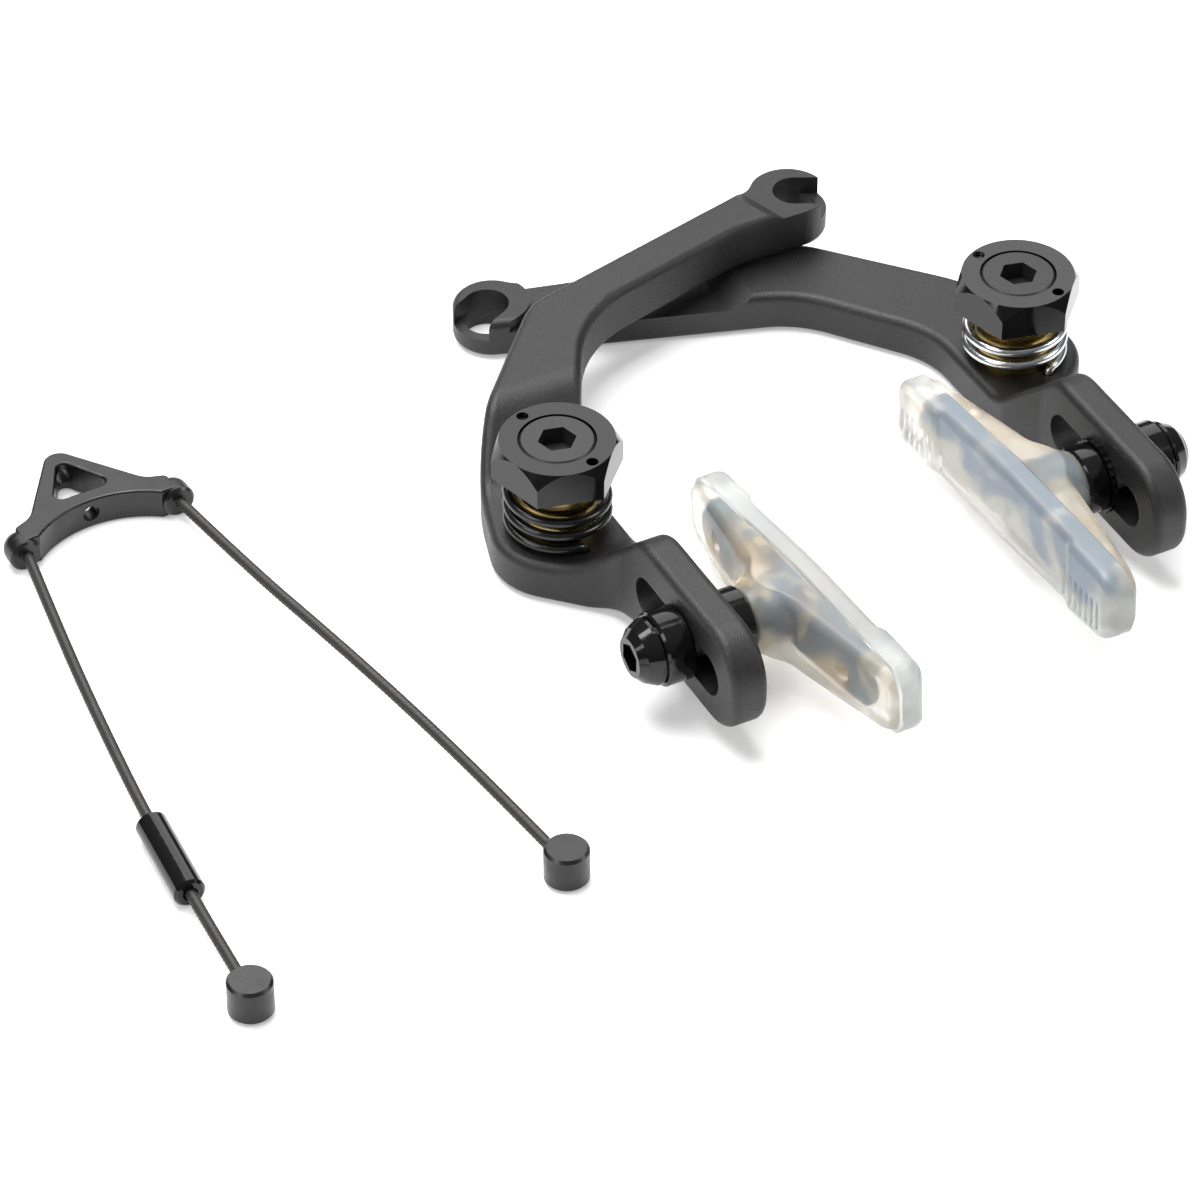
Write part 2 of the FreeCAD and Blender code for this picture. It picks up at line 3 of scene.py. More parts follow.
import bpy
import numpy as np
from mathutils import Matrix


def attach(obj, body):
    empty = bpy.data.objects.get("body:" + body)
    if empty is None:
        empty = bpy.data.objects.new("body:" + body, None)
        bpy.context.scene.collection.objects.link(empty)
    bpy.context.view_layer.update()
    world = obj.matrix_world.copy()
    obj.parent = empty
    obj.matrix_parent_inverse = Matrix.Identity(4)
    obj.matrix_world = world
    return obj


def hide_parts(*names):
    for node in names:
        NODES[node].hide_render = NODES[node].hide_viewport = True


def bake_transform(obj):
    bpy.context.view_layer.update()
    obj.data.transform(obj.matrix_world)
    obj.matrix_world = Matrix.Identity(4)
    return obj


bl_info = {
    "name": "U-brake looks",
    "version": (1, 0, 0),
    "blender": (4, 2, 0),
    "location": "View3D > Sidebar > U-brake",
    "description": "Finishes, moulded pads and straddle cable for a bicycle u-brake",
    "category": "Object",
}

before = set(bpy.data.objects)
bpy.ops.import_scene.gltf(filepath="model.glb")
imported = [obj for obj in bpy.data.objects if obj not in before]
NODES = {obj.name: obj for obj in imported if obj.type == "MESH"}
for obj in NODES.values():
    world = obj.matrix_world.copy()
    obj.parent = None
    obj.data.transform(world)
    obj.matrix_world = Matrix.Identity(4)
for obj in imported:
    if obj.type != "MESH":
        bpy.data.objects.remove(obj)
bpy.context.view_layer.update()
SIDES = ("left", "right")
MM = 0.001

# Place of each arm's own plan, in millimetres and radians: pivot, mirror sign and turn, as the arms lie,
# then the stud in that plan and the turn of each pad about its stud.
PIVOT_X = {"left": -40.0, "right": 40.0}
MIRROR = {"left": 1.0, "right": -1.0}
REST_TURN = math.radians(-3.5)
STUD_Y, STUD_Z = -35.5, 4.6
PAD_TURN = {"left": math.radians(-6.0), "right": math.radians(-3.7)}

# Return springs: angle in degrees of the leg in the arm and of the leg in the nut, hand of the coil, and
# height in millimetres of the top of the leg in the nut.
COILS = {"left": (-89.0, 103.0, -1, 15.55), "right": (-78.0, 110.0, 1, 14.55)}

# Straddle wire routes, in metres, from the hanger's lugs to the barrel ends.
ROUTES = {
    "left": [(-0.1072, 0.0389, -0.0035), (-0.1116, 0.0179, -0.0034), (-0.1151, -0.0010, -0.0034),
             (-0.1182, -0.0205, -0.00365), (-0.1205, -0.0396, -0.00365), (-0.1225, -0.0584, -0.0032)],
    "right": [(-0.0829, 0.0394, -0.0035), (-0.0811, 0.0177, -0.0034), (-0.0787, -0.0010, -0.0031),
              (-0.0765, -0.0195, -0.0032), (-0.07485, -0.0389, -0.0032), (-0.0738, -0.0578, -0.0032)],
}

# Stations along each swept shape, and places round it or across one of its sheets.
PAD_STATIONS, PAD_PLACES = 381, 73
WALL_PLACES, LIP_PLACES = 12, 4
WIRE_STATIONS, WIRE_PLACES = 420, 48
SPRING_STATIONS, SPRING_PLACES = 430, 24
HELIX_STEPS = 900

# The added station inside a capped end, as a share of the way to the next station.
END_INSET = 0.03

FLOOR_Z = -0.0062
FLOOR_REACH = 3.0

# Area lights, all turned to the origin: place and size in metres, and power in watts.
LIGHTS = {
    "overhead": ((-0.1, 0.25, 0.9), 0.7, 14.0),
    "back": ((0.32, 0.56, 0.58), 0.6, 2.4),
    "left": ((-0.9, -0.1, 0.6), 0.5, 3.5),
    "right": ((0.7, -0.5, 0.6), 0.4, 3.0),
}


def linear(code):
    """Linear RGBA of an sRGB hex colour: each channel is undone by the sRGB curve."""
    channels = [int(code[i:i + 2], 16) / 255 for i in (1, 3, 5)]
    return tuple(c / 12.92 if c <= 0.04045 else ((c + 0.055) / 1.055) ** 2.4 for c in channels) + (1.0,)


def colour(name, code, words):
    """A colour property whose default is an sRGB hex colour."""
    return bpy.props.FloatVectorProperty(name=name, description=words, subtype="COLOR", size=4,
                                         min=0.0, max=1.0, default=linear(code))


def length(name, value, words):
    """A length property in metres, given in millimetres."""
    return bpy.props.FloatProperty(name=name, description=words, subtype="DISTANCE", unit="LENGTH",
                                   default=value * MM)


class UBRAKE_PG_finishes(bpy.types.PropertyGroup):
    """Colours of the brake's finishes."""

    arm_black: colour("Arm black", "#0e0e0f", "Anodised black of the forged arms")
    arm_worn: colour("Arm grey", "#171718", "Lighter patches of the blasted skin")
    arm_speck: colour("Arm specks", "#48484a", "Bright specks of the blasted skin")
    gloss_black: colour("Gloss black", "#0a0a0b", "Gloss anodised nuts and rings")
    bolt_grey: colour("Bolt grey", "#3a3a3b", "Phosphated steel of the pivot bolts")
    brass: colour("Brass", "#a8925c", "Turned brass of the pivot sleeves")
    spring_black: colour("Black spring", "#101012", "Oxidised spring wire")
    spring_zinc: colour("Bright spring", "#c9cbcd", "Zinc plated spring wire")
    stud_steel: colour("Stud steel", "#0a5880", "Blue passivated steel seen through the pads")
    stud_dark: colour("Stud end", "#2b2b2d", "Oiled thread of the stud outside the pad")
    # Pale haze on the steel seen through the pads: cloudy patches that grow paler towards the bottom
    stud_haze: colour("Stud haze", "#c9c2b2", "Dried resin on the steel seen through the pads")
    urethane: colour("Urethane", "#eef1f1", "Milky rim slab of the pads")
    urethane_clear: colour("Clear urethane", "#f5efe2", "Clearer back of the pads")
    urethane_warm: colour("Warm urethane", "#e6cfae", "Amber tint in patches of the pads")
    strand: colour("Strand", "#393837", "Dark steel strand of the straddle wires")
    floor: colour("Floor", "#e4e4e4", "Plain pale floor")


class UBRAKE_PG_pad(bpy.types.PropertyGroup):
    """Sizes of a moulded pad."""

    half_length: length("Half length", 30.7, "From the stud to a pad end")
    half_height: length("Half height", 6.6, "From the stud to a long edge of the rim slab")
    end_half_height: length("Half height at the ends", 5.4, "The same at the pad's ends")
    corner: length("Corner", 4.0, "Rounding of the ends, seen along the stud")
    face: length("Face", 24.0, "Rim face, from the pivot plane along the stud")
    slab: length("Slab", 4.4, "Thickness of the rim slab")
    shelf: length("Shelf", 0.5, "How far the slab stands proud of the back")
    end_step: length("End step", 0.7, "How far the ends stand proud of the middle")
    end_length: length("End length", 11.0, "Length of each raised end")
    back: length("Back", 15.0, "Back of the pad at the stud")
    back_end: length("Back at the ends", 18.6, "Back of the pad at its ends")
    collar: length("Collar", 5.4, "Radius of the collar round the stud")
    flare: length("Flare", 8.6, "Radius where the collar runs out into the back")
    flare_end: length("Flare end", 16.5, "Where the collar runs out, from the pivot plane along the stud")
    collar_face: length("Collar face", 11.2, "Free end of the collar")
    pit: length("Pit", 1.6, "Radius of the moulding pits in the back")
    rib_gap: length("Rib spacing", 1.45, "Spacing of the fine ribs at the ends")


class UBRAKE_PG_cable(bpy.types.PropertyGroup):
    """Sizes of the straddle wires."""

    radius: length("Radius", 0.85, "Outer radius of the strand")
    lay: length("Lay", 6.5, "Length of one turn of the strand")
    strands: bpy.props.IntProperty(name="Strands", description="Outer strands", default=8, min=3)


class UBRAKE_PG_spring(bpy.types.PropertyGroup):
    """Sizes of a return spring."""

    radius: length("Coil radius", 7.3, "From the pivot axis to the middle of the wire")
    wire: length("Wire radius", 0.75, "Radius of the spring wire")
    pitch: length("Pitch", 2.45, "Rise of one turn")
    turns: bpy.props.IntProperty(name="Turns", description="Whole turns of the coil", default=2, min=1)
    foot: length("Foot", -2.4, "Height of the end of the leg in the arm")
    low: length("Low", 1.45, "Height of the start of the coil")
    cut: length("Cut", 3.25, "Height where the arm's part of the spring meets the nut's part")


class UBRAKE_PG_camera(bpy.types.PropertyGroup):
    """Viewing angle of the photograph."""

    azimuth: bpy.props.FloatProperty(name="Azimuth", description="Angle round the brake", subtype="ANGLE",
                                     default=math.radians(-30.85))
    elevation: bpy.props.FloatProperty(name="Elevation", description="Angle above the floor",
                                       subtype="ANGLE", default=math.radians(40.16))
    distance: length("Distance", 750.0, "From the camera to its target")
    focal: bpy.props.FloatProperty(name="Focal length", description="On a 36 mm sensor", default=162.42)
    target: bpy.props.FloatVectorProperty(name="Target", description="Point at the image's centre",
                                          subtype="XYZ", default=(-0.05313, -0.03397, 0.0163))


def settings(group):
    """The scene's settings of one kind: finishes, pad, cable, spring or camera."""
    return getattr(bpy.context.scene, "ubrake_" + group)


def fill(tree, node, inputs):
    """Fills a node's sockets with values or links."""
    for key, value in inputs.items():
        if isinstance(value, bpy.types.NodeSocket):
            tree.links.new(value, node.inputs[key])
        else:
            node.inputs[key].default_value = value


def add(tree, kind, inputs=None, **options):
    """Adds a node, sets its properties, and fills its sockets."""
    made = tree.nodes.new(kind)
    for key, value in options.items():
        setattr(made, key, value)
    fill(tree, made, inputs or {})
    return made


def per(millimetres):
    """Texture scale whose pattern repeats about every so many millimetres."""
    return 1.0 / (millimetres * MM)


def finish_named(name):
    """A new node material with a shader and an output, and its object coordinates."""
    material = bpy.data.materials.new(name)
    material.use_nodes = True
    tree = material.node_tree
    tree.nodes.clear()
    shader = add(tree, "ShaderNodeBsdfPrincipled")
    add(tree, "ShaderNodeOutputMaterial", {"Surface": shader.outputs["BSDF"]})
    place = add(tree, "ShaderNodeTexCoord").outputs["Object"]
    return material, tree, shader, place


def blasted_anodised_aluminium():
    """Forged aluminium, blasted and anodised: a dead black skin with fine grit, specks and a soft sheen."""
    colours = settings("finishes")
    material, tree, shader, place = finish_named("anodised_aluminium_blasted")
    # Grit of about 0.2 mm is too fine to show, so it is drawn at 0.32 mm.
    grit = add(tree, "ShaderNodeTexNoise", {"Vector": place, "Scale": per(0.32), "Detail": 3.0,
                                            "Roughness": 0.7})
    cloud = add(tree, "ShaderNodeTexNoise", {"Vector": place, "Scale": per(16.0), "Detail": 2.0})
    tint = add(tree, "ShaderNodeMix", {"Factor": cloud.outputs["Fac"], "A": colours.arm_black,
                                       "B": colours.arm_worn}, data_type="RGBA")
    rough = add(tree, "ShaderNodeMapRange", {"Value": grit.outputs["Fac"], "From Min": 0.3, "From Max": 0.7,
                                             "To Min": 0.38, "To Max": 0.56})
    bump = add(tree, "ShaderNodeBump", {"Height": grit.outputs["Fac"], "Strength": 0.7,
                                        "Distance": 0.12 * MM})
    bright = add(tree, "ShaderNodeMapRange", {"Value": grit.outputs["Fac"], "From Min": 0.62,
                                              "From Max": 0.78})
    tint = add(tree, "ShaderNodeMix", {"Factor": bright.outputs["Result"], "A": tint.outputs["Result"],
                                       "B": colours.arm_speck}, data_type="RGBA")
    fill(tree, shader, {"Base Color": tint.outputs["Result"], "Roughness": rough.outputs["Result"],
                        "Normal": bump.outputs["Normal"], "IOR": 1.5})
    return material


def gloss_anodised_aluminium():
    """Turned aluminium, bright dipped and anodised: deep gloss black with faint tool marks. It is made
    once, and shared by the groups that use it."""
    name = "anodised_aluminium_gloss"
    if name in bpy.data.materials:
        return bpy.data.materials[name]
    colours = settings("finishes")
    material, tree, shader, place = finish_named(name)
    marks = add(tree, "ShaderNodeTexNoise", {"Vector": place, "Scale": per(1.2), "Detail": 3.0})
    rough = add(tree, "ShaderNodeMapRange", {"Value": marks.outputs["Fac"], "From Min": 0.3, "From Max": 0.7,
                                             "To Min": 0.06, "To Max": 0.16})
    bump = add(tree, "ShaderNodeBump", {"Height": marks.outputs["Fac"], "Strength": 0.08,
                                        "Distance": 0.02 * MM})
    fill(tree, shader, {"Base Color": colours.gloss_black, "Roughness": rough.outputs["Result"],
                        "Normal": bump.outputs["Normal"], "IOR": 1.45})
    return material


def tumbled_anodised_aluminium():
    """Stamped aluminium, tumbled and anodised: half gloss black, polished and dulled in patches."""
    colours = settings("finishes")
    material, tree, shader, place = finish_named("anodised_aluminium_tumbled")
    patch = add(tree, "ShaderNodeTexNoise", {"Vector": place, "Scale": per(3.5), "Detail": 5.0,
                                             "Roughness": 0.6})
    rough = add(tree, "ShaderNodeMapRange", {"Value": patch.outputs["Fac"], "From Min": 0.35,
                                             "From Max": 0.65, "To Min": 0.20, "To Max": 0.46})
    bump = add(tree, "ShaderNodeBump", {"Height": patch.outputs["Fac"], "Strength": 0.3,
                                        "Distance": 0.1 * MM})
    fill(tree, shader, {"Base Color": colours.arm_black, "Roughness": rough.outputs["Result"],
                        "Normal": bump.outputs["Normal"], "IOR": 1.47})
    return material


def phosphated_steel():
    """Steel bolt, phosphated: dull dark grey metal with an even fine grain."""
    colours = settings("finishes")
    material, tree, shader, place = finish_named("phosphated_steel")
    grain = add(tree, "ShaderNodeTexNoise", {"Vector": place, "Scale": per(0.5), "Detail": 3.0})
    rough = add(tree, "ShaderNodeMapRange", {"Value": grain.outputs["Fac"], "From Min": 0.3, "From Max": 0.7,
                                             "To Min": 0.36, "To Max": 0.50})
    bump = add(tree, "ShaderNodeBump", {"Height": grain.outputs["Fac"], "Strength": 0.2,
                                        "Distance": 0.03 * MM})
    fill(tree, shader, {"Base Color": colours.bolt_grey, "Roughness": rough.outputs["Result"],
                        "Normal": bump.outputs["Normal"], "Metallic": 0.7})
    return material


def turned_brass():
    """Brass, turned: warm metal with fine rings left by the tool along its length."""
    colours = settings("finishes")
    material, tree, shader, place = finish_named("brass_turned")
    # Tool rings of 0.35 mm are too fine to show. A wave of scale 1 repeats every 0.314, so this draws
    # them about 0.69 mm apart.
    rings = add(tree, "ShaderNodeTexWave", {"Vector": place, "Scale": per(0.35) / 6.28, "Distortion": 0.6,
                                            "Detail": 2.0}, bands_direction="Z")
    rough = add(tree, "ShaderNodeMapRange", {"Value": rings.outputs["Fac"], "To Min": 0.22, "To Max": 0.36})
    bump = add(tree, "ShaderNodeBump", {"Height": rings.outputs["Fac"], "Strength": 0.25,
                                        "Distance": 0.02 * MM})
    fill(tree, shader, {"Base Color": colours.brass, "Roughness": rough.outputs["Result"],
                        "Normal": bump.outputs["Normal"], "Metallic": 1.0})
    return material


def spring_wire(name, tone, metallic, low, high):
    """Cold drawn spring wire: smooth, with small changes in polish. low and high bound its roughness."""
    material, tree, shader, place = finish_named(name)
    streak = add(tree, "ShaderNodeTexNoise", {"Vector": place, "Scale": per(0.8), "Detail": 3.0})
    rough = add(tree, "ShaderNodeMapRange", {"Value": streak.outputs["Fac"], "From Min": 0.3, "From Max": 0.7,
                                             "To Min": low, "To Max": high})
    fill(tree, shader, {"Base Color": tone, "Roughness": rough.outputs["Result"], "Metallic": metallic})
    return material


def passivated_steel():
    """Zinc plated, blue passivated steel, pale and cloudy in patches, and more so towards its lower
    half. Outside the pad the stud is oiled and dark."""
    colours = settings("finishes")
    # Heights between which the haze grows, and where the pads' collars end either side of the two studs.
    haze_top, haze_low = 8.5 * MM, 1.0 * MM
    middle, collar_inner, collar_end = -2.17 * MM, 28.0 * MM, 28.8 * MM
    material, tree, shader, place = finish_named("steel_blue_passivated")
    cloud = add(tree, "ShaderNodeTexNoise", {"Vector": place, "Scale": per(6.0), "Detail": 2.0})
    parts = add(tree, "ShaderNodeSeparateXYZ", {"Vector": place})
    # The haze is paler towards the bottom.
    low = add(tree, "ShaderNodeMapRange", {"Value": parts.outputs["Z"], "From Min": haze_top,
                                           "From Max": haze_low, "To Min": -0.12, "To Max": 0.12})
    haze = add(tree, "ShaderNodeMath", {0: cloud.outputs["Fac"], 1: low.outputs["Result"]}, operation="ADD")
    share = add(tree, "ShaderNodeMapRange", {"Value": haze.outputs["Value"], "From Min": 0.46,
                                             "From Max": 0.60})
    tint = add(tree, "ShaderNodeMix", {"Factor": share.outputs["Result"], "A": colours.stud_steel,
                                       "B": colours.stud_haze}, data_type="RGBA")
    side = add(tree, "ShaderNodeMath", {0: parts.outputs["X"], 1: -middle}, operation="ADD")
    side = add(tree, "ShaderNodeMath", {0: side.outputs["Value"]}, operation="ABSOLUTE")
    bare = add(tree, "ShaderNodeMapRange", {"Value": side.outputs["Value"], "From Min": collar_inner,
                                            "From Max": collar_end})
    tint = add(tree, "ShaderNodeMix", {"Factor": bare.outputs["Result"], "A": tint.outputs["Result"],
                                       "B": colours.stud_dark}, data_type="RGBA")
    rough = add(tree, "ShaderNodeMapRange", {"Value": cloud.outputs["Fac"], "To Min": 0.35, "To Max": 0.6})
    fill(tree, shader, {"Base Color": tint.outputs["Result"], "Roughness": rough.outputs["Result"],
                        "Metallic": 0.2})
    return material


def moulded_urethane(name, tone, clear, rough, warm):
    """Cast urethane: cloudy and translucent, amber in patches. clear is the share of light that it lets
    through, rough its mean roughness and warm the most that the amber covers its tone."""
    colours = settings("finishes")
    material, tree, shader, place = finish_named(name)
    cloud = add(tree, "ShaderNodeTexNoise", {"Vector": place, "Scale": per(9.0), "Detail": 2.0})
    share = add(tree, "ShaderNodeMapRange", {"Value": cloud.outputs["Fac"], "From Min": 0.4, "From Max": 0.7,
                                             "To Max": warm})
    tint = add(tree, "ShaderNodeMix", {"Factor": share.outputs["Result"], "A": tone,
                                       "B": colours.urethane_warm}, data_type="RGBA")
    skin = add(tree, "ShaderNodeTexNoise", {"Vector": place, "Scale": per(0.9), "Detail": 3.0})
    spread = 0.08
    polish = add(tree, "ShaderNodeMapRange", {"Value": skin.outputs["Fac"], "To Min": rough - spread,
                                              "To Max": rough + spread})
    bump = add(tree, "ShaderNodeBump", {"Height": skin.outputs["Fac"], "Strength": 0.15,
                                        "Distance": 0.05 * MM})
    fill(tree, shader, {"Base Color": tint.outputs["Result"], "Roughness": polish.outputs["Result"],
                        "Normal": bump.outputs["Normal"], "IOR": 1.45, "Transmission Weight": clear})
    return material


def dark_strand():
    """Drawn steel strand, oiled: dark, half dull metal with small changes in polish."""
    colours = settings("finishes")
    material, tree, shader, place = finish_named("steel_strand_drawn")
    grime = add(tree, "ShaderNodeTexNoise", {"Vector": place, "Scale": per(0.6), "Detail": 3.0})
    rough = add(tree, "ShaderNodeMapRange", {"Value": grime.outputs["Fac"], "To Min": 0.35, "To Max": 0.6})
    fill(tree, shader, {"Base Color": colours.strand, "Roughness": rough.outputs["Result"], "Metallic": 0.5})
    return material


def dress(names, material):
    """Gives CAD nodes a finish."""
    for name in names:
        mesh = NODES[name].data
        mesh.materials.clear()
        mesh.materials.append(material)


def both(*names):
    """The left and right nodes of these kinds."""
    return [side + "_" + name for side in SIDES for name in names]


def grid_mesh(name, points, materials, kinds=None, capped=False):
    """Mesh of a closed tube: points[station, place round the section, xyz]. kinds gives each place
    round the section its material. Capped ends are closed by strips across a mirrored section, with
    one more station just inside each, so that the tube stays smooth up to its end."""
    if capped:
        first = (1.0 - END_INSET) * points[:1] + END_INSET * points[1:2]
        last = (1.0 - END_INSET) * points[-1:] + END_INSET * points[-2:-1]
        points = np.concatenate([points[:1], first, points[1:-1], last, points[-1:]])
    rows, count = points.shape[:2]
    index = np.arange(rows * count).reshape(rows, count)
    after = np.roll(index, -1, axis=1)
    faces = np.stack([index[:-1], after[:-1], after[1:], index[1:]], axis=-1).reshape(-1, 4)
    shade = np.tile(np.zeros(count, dtype=np.int32) if kinds is None else kinds, rows - 1)
    smooth = np.ones(len(faces), dtype=bool)
    if capped:
        near = np.arange(count // 2 - 1)
        far = count - 1 - near
        first = np.stack([index[0, near], index[0, far], index[0, far - 1], index[0, near + 1]], axis=-1)
        last = np.stack([index[-1, near], index[-1, near + 1], index[-1, far - 1], index[-1, far]], axis=-1)
        faces = np.concatenate([faces, first, last])
        shade = np.concatenate([shade, np.zeros(2 * len(near), dtype=np.int32)])
        smooth = np.concatenate([smooth, np.zeros(2 * len(near), dtype=bool)])
    mesh = bpy.data.meshes.new(name)
    mesh.from_pydata(points.reshape(-1, 3).tolist(), [], faces.tolist())
    for material in materials:
        mesh.materials.append(material)
    mesh.polygons.foreach_set("material_index", shade)
    mesh.polygons.foreach_set("use_smooth", smooth)
    made = bpy.data.objects.new(name, mesh)
    bpy.context.scene.collection.objects.link(made)
    return made


def quarter(distance, radius):
    """Height lost at a rounded edge: a quarter circle of that radius, at a distance from the edge."""
    short = np.clip(radius - distance, 0.0, radius)
    return radius - np.sqrt(radius ** 2 - short ** 2)


def smooth_step(value):
    """0 below 0 and 1 above 1, joined by a smooth cubic."""
    t = np.clip(value, 0.0, 1.0)
    return t * t * (3.0 - 2.0 * t)


def soft_least(first, second, blend):
    """The lesser of two heights, joined by a rounded fillet of about the blend's size."""
    share = np.clip(0.5 + 0.5 * (second - first) / blend, 0.0, 1.0)
    return second + (first - second) * share - blend * share * (1.0 - share)


def pad_half_height(sizes, y, inset):
    """Half height of the pad along its length: highest at the stud, falling in a straight line to the
    ends, which lose a quarter circle. inset draws the outline in."""
    half, rise = sizes.half_length / MM, (sizes.half_height - sizes.end_half_height) / MM
    blunting = 3.0
    along = np.sqrt(y * y + blunting ** 2) - blunting
    high = sizes.end_half_height / MM + rise * (1.0 - along / half) - inset
    corner = sizes.corner / MM
    return high - quarter(np.maximum(half - inset - np.abs(y), 0.0), corner)


def pad_back(sizes, y, z, high):
    """Depth of the pad's back over its side view. A taper runs from a level middle to the ends and is
    rounded at its edges. A collar, u = tip + rise * out ** fall of the distance out from the stud, blends
    into it. Two round pits lie near the ends."""
    # In millimetres: the taper and its edges, the collar's brim and fillet, and the pits.
    level, bend, edge, end_edge = 5.0, 2.0, 1.5, 1.6
    brim, fall, fillet = 0.5, 0.75, 1.4
    pit_y, pit_z, pit_depth, pit_wall = 18.5, 0.4, 1.8, 0.4
    margin = (sizes.half_length - sizes.shelf) / MM
    slab = (sizes.face - sizes.slab) / MM
    back, back_end = sizes.back / MM, sizes.back_end / MM
    away = np.abs(y)
    slope = (back_end - back) / (margin - level - bend)
    taper = back + slope * (np.sqrt(np.maximum(away - level, 0.0) ** 2 + bend ** 2) - bend)
    lost = quarter(np.maximum(high - np.abs(z), 0.0), edge)
    taper = taper + lost + quarter(np.maximum(margin - away, 0.0), end_edge)
    spread = np.hypot(y, z)
    tip, collar, flare = sizes.collar_face / MM, sizes.collar / MM, sizes.flare / MM
    out = np.clip((spread - collar + brim) / (flare - collar + brim), 0.0, None)
    swell = tip + (sizes.flare_end / MM - tip) * out ** fall
    swell = np.where(spread < collar - brim, tip, swell)
    depth = soft_least(swell, taper, fillet)
    hole = np.hypot(away - pit_y, z - pit_z)
    depth = depth + pit_depth * smooth_step((sizes.pit / MM - hole) / pit_wall)
    return np.minimum(np.where(away > margin, slab, depth), slab)


def pad_points(sizes):
    """Points of one pad in its stud's own frame, in millimetres, as closed sections along it: the back, the
    step up to the rim slab, the slab's side and the rim face, then the other side. Also the material of
    each place round a section."""
    half, shelf = sizes.half_length / MM, sizes.shelf / MM
    slab, face = (sizes.face - sizes.slab) / MM, sizes.face / MM
    # In millimetres: least half heights at the very ends, the rim slab's edges, and the ribs.
    least_inner, least_outer = 0.4, 0.9
    ramp, end_edge, edge, lip_rise = 2.0, 2.8, 1.5, 0.25
    rib_start, rib_end, rib_fade, rib_depth = 16.5, 28.5, 1.0, 0.35
    rib_top, rib_low, rib_low_fade = 1.2, 1.3, 0.8
    # Stations along the pad, and places across a sheet, lie closer together at the ends and edges.
    even = np.linspace(-1.0, 1.0, PAD_STATIONS)
    y = half * (0.72 * even + 0.28 * np.sin(even * np.pi / 2))
    away = np.abs(y)
    inner = np.maximum(pad_half_height(sizes, y, shelf), least_inner)[:, None]
    outer = np.maximum(pad_half_height(sizes, y, 0.0), least_outer)[:, None]
    even = np.linspace(-1.0, 1.0, PAD_PLACES)[None, :]
    across = 0.55 * np.sin(even * np.pi / 2) + 0.45 * even
    back_z = inner * across
    back_u = pad_back(sizes, y[:, None], back_z, inner)

    step = sizes.end_step / MM
    raised = smooth_step((away - half + sizes.end_length / MM + ramp) / ramp)
    rim = face - step * (1.0 - raised) - quarter(half - away, end_edge)
    face_z = -outer * across
    # Fine grooves cross the lower part of the rim face near both ends, and leave ribs between them.
    ribs = np.clip(np.cos(2 * np.pi * y / (sizes.rib_gap / MM)), 0.0, 1.0)
    ribs = ribs * smooth_step((away - rib_start) / rib_fade) * smooth_step((rib_end - away) / rib_fade)
    band = smooth_step((rib_top - face_z) / rib_top)
    band = band * smooth_step((face_z + outer - rib_low) / rib_low_fade)
    lost = quarter(np.maximum(outer - np.abs(face_z), 0.0), edge)
    face_u = rim[:, None] - lost - rib_depth * ribs[:, None] * band

    share = np.linspace(0.0, 1.0, WALL_PLACES + 1)[None, 1:]
    wall_u = back_u[:, -1:] + (slab - back_u[:, -1:]) * share
    wall_z = np.broadcast_to(inner, wall_u.shape)
    lip = np.linspace(0.0, 1.0, LIP_PLACES + 1)[None, 1:]
    lip_z = inner + (outer - inner) * lip
    lip_u = np.full(lip_z.shape, slab) + lip_rise * lip ** 3
    side_u = lip_u[:, -1:] + (face_u[:, :1] - lip_u[:, -1:]) * share[:, :-1]
    side_z = np.broadcast_to(outer, side_u.shape)
    up = [wall_u, lip_u, side_u]
    up_z = [wall_z, lip_z, side_z]
    loop_u = np.concatenate([back_u] + up + [face_u] + [a[:, ::-1] for a in up[::-1]], axis=1)
    loop_z = np.concatenate([back_z] + up_z + [face_z] + [-a[:, ::-1] for a in up_z[::-1]], axis=1)
    loop_y = np.broadcast_to(y[:, None], loop_u.shape)
    # A strip takes the material of the place it starts from: 1 is the clear back, 0 the milky slab.
    side = LIP_PLACES + WALL_PLACES - 1
    sheets = [PAD_PLACES + WALL_PLACES - 1, side + PAD_PLACES + side, WALL_PLACES + 1]
    kinds = np.repeat(np.array([1, 0, 1], dtype=np.int32), sheets)
    return np.stack([loop_u, loop_y, loop_z], axis=-1), kinds


def on_arm(points, side):
    """Carries points in millimetres from a stud's own frame to the brake, in metres: turned about the
    stud, moved to it, mirrored for the right arm and turned with the arm."""
    c, s = math.cos(PAD_TURN[side]), math.sin(PAD_TURN[side])
    u = points[..., 0] * MIRROR[side]
    y = points[..., 1] * c - points[..., 2] * s + STUD_Y
    z = points[..., 1] * s + points[..., 2] * c + STUD_Z
    x = u * math.cos(REST_TURN) - y * math.sin(REST_TURN) + PIVOT_X[side]
    across = u * math.sin(REST_TURN) + y * math.cos(REST_TURN)
    return np.stack([x, across, z], axis=-1) * MM


def spline_line(route):
    """Points along the smooth NURBS line whose control points are the route."""
    curve = bpy.data.curves.new("wire_line", "CURVE")
    curve.dimensions = "3D"
    curve.resolution_u = 40
    spline = curve.splines.new("NURBS")
    spline.points.add(len(route) - 1)
    spline.points.foreach_set("co", np.array([(*p, 1.0) for p in route], dtype=np.float32).ravel())
    spline.order_u = 3
    spline.use_endpoint_u = True
    holder = bpy.data.objects.new("wire_line", curve)
    mesh = bpy.data.meshes.new_from_object(holder)
    line = np.zeros(len(mesh.vertices) * 3)
    mesh.vertices.foreach_get("co", line)
    bpy.data.objects.remove(holder)
    bpy.data.curves.remove(curve)
    bpy.data.meshes.remove(mesh)
    return line.reshape(-1, 3)


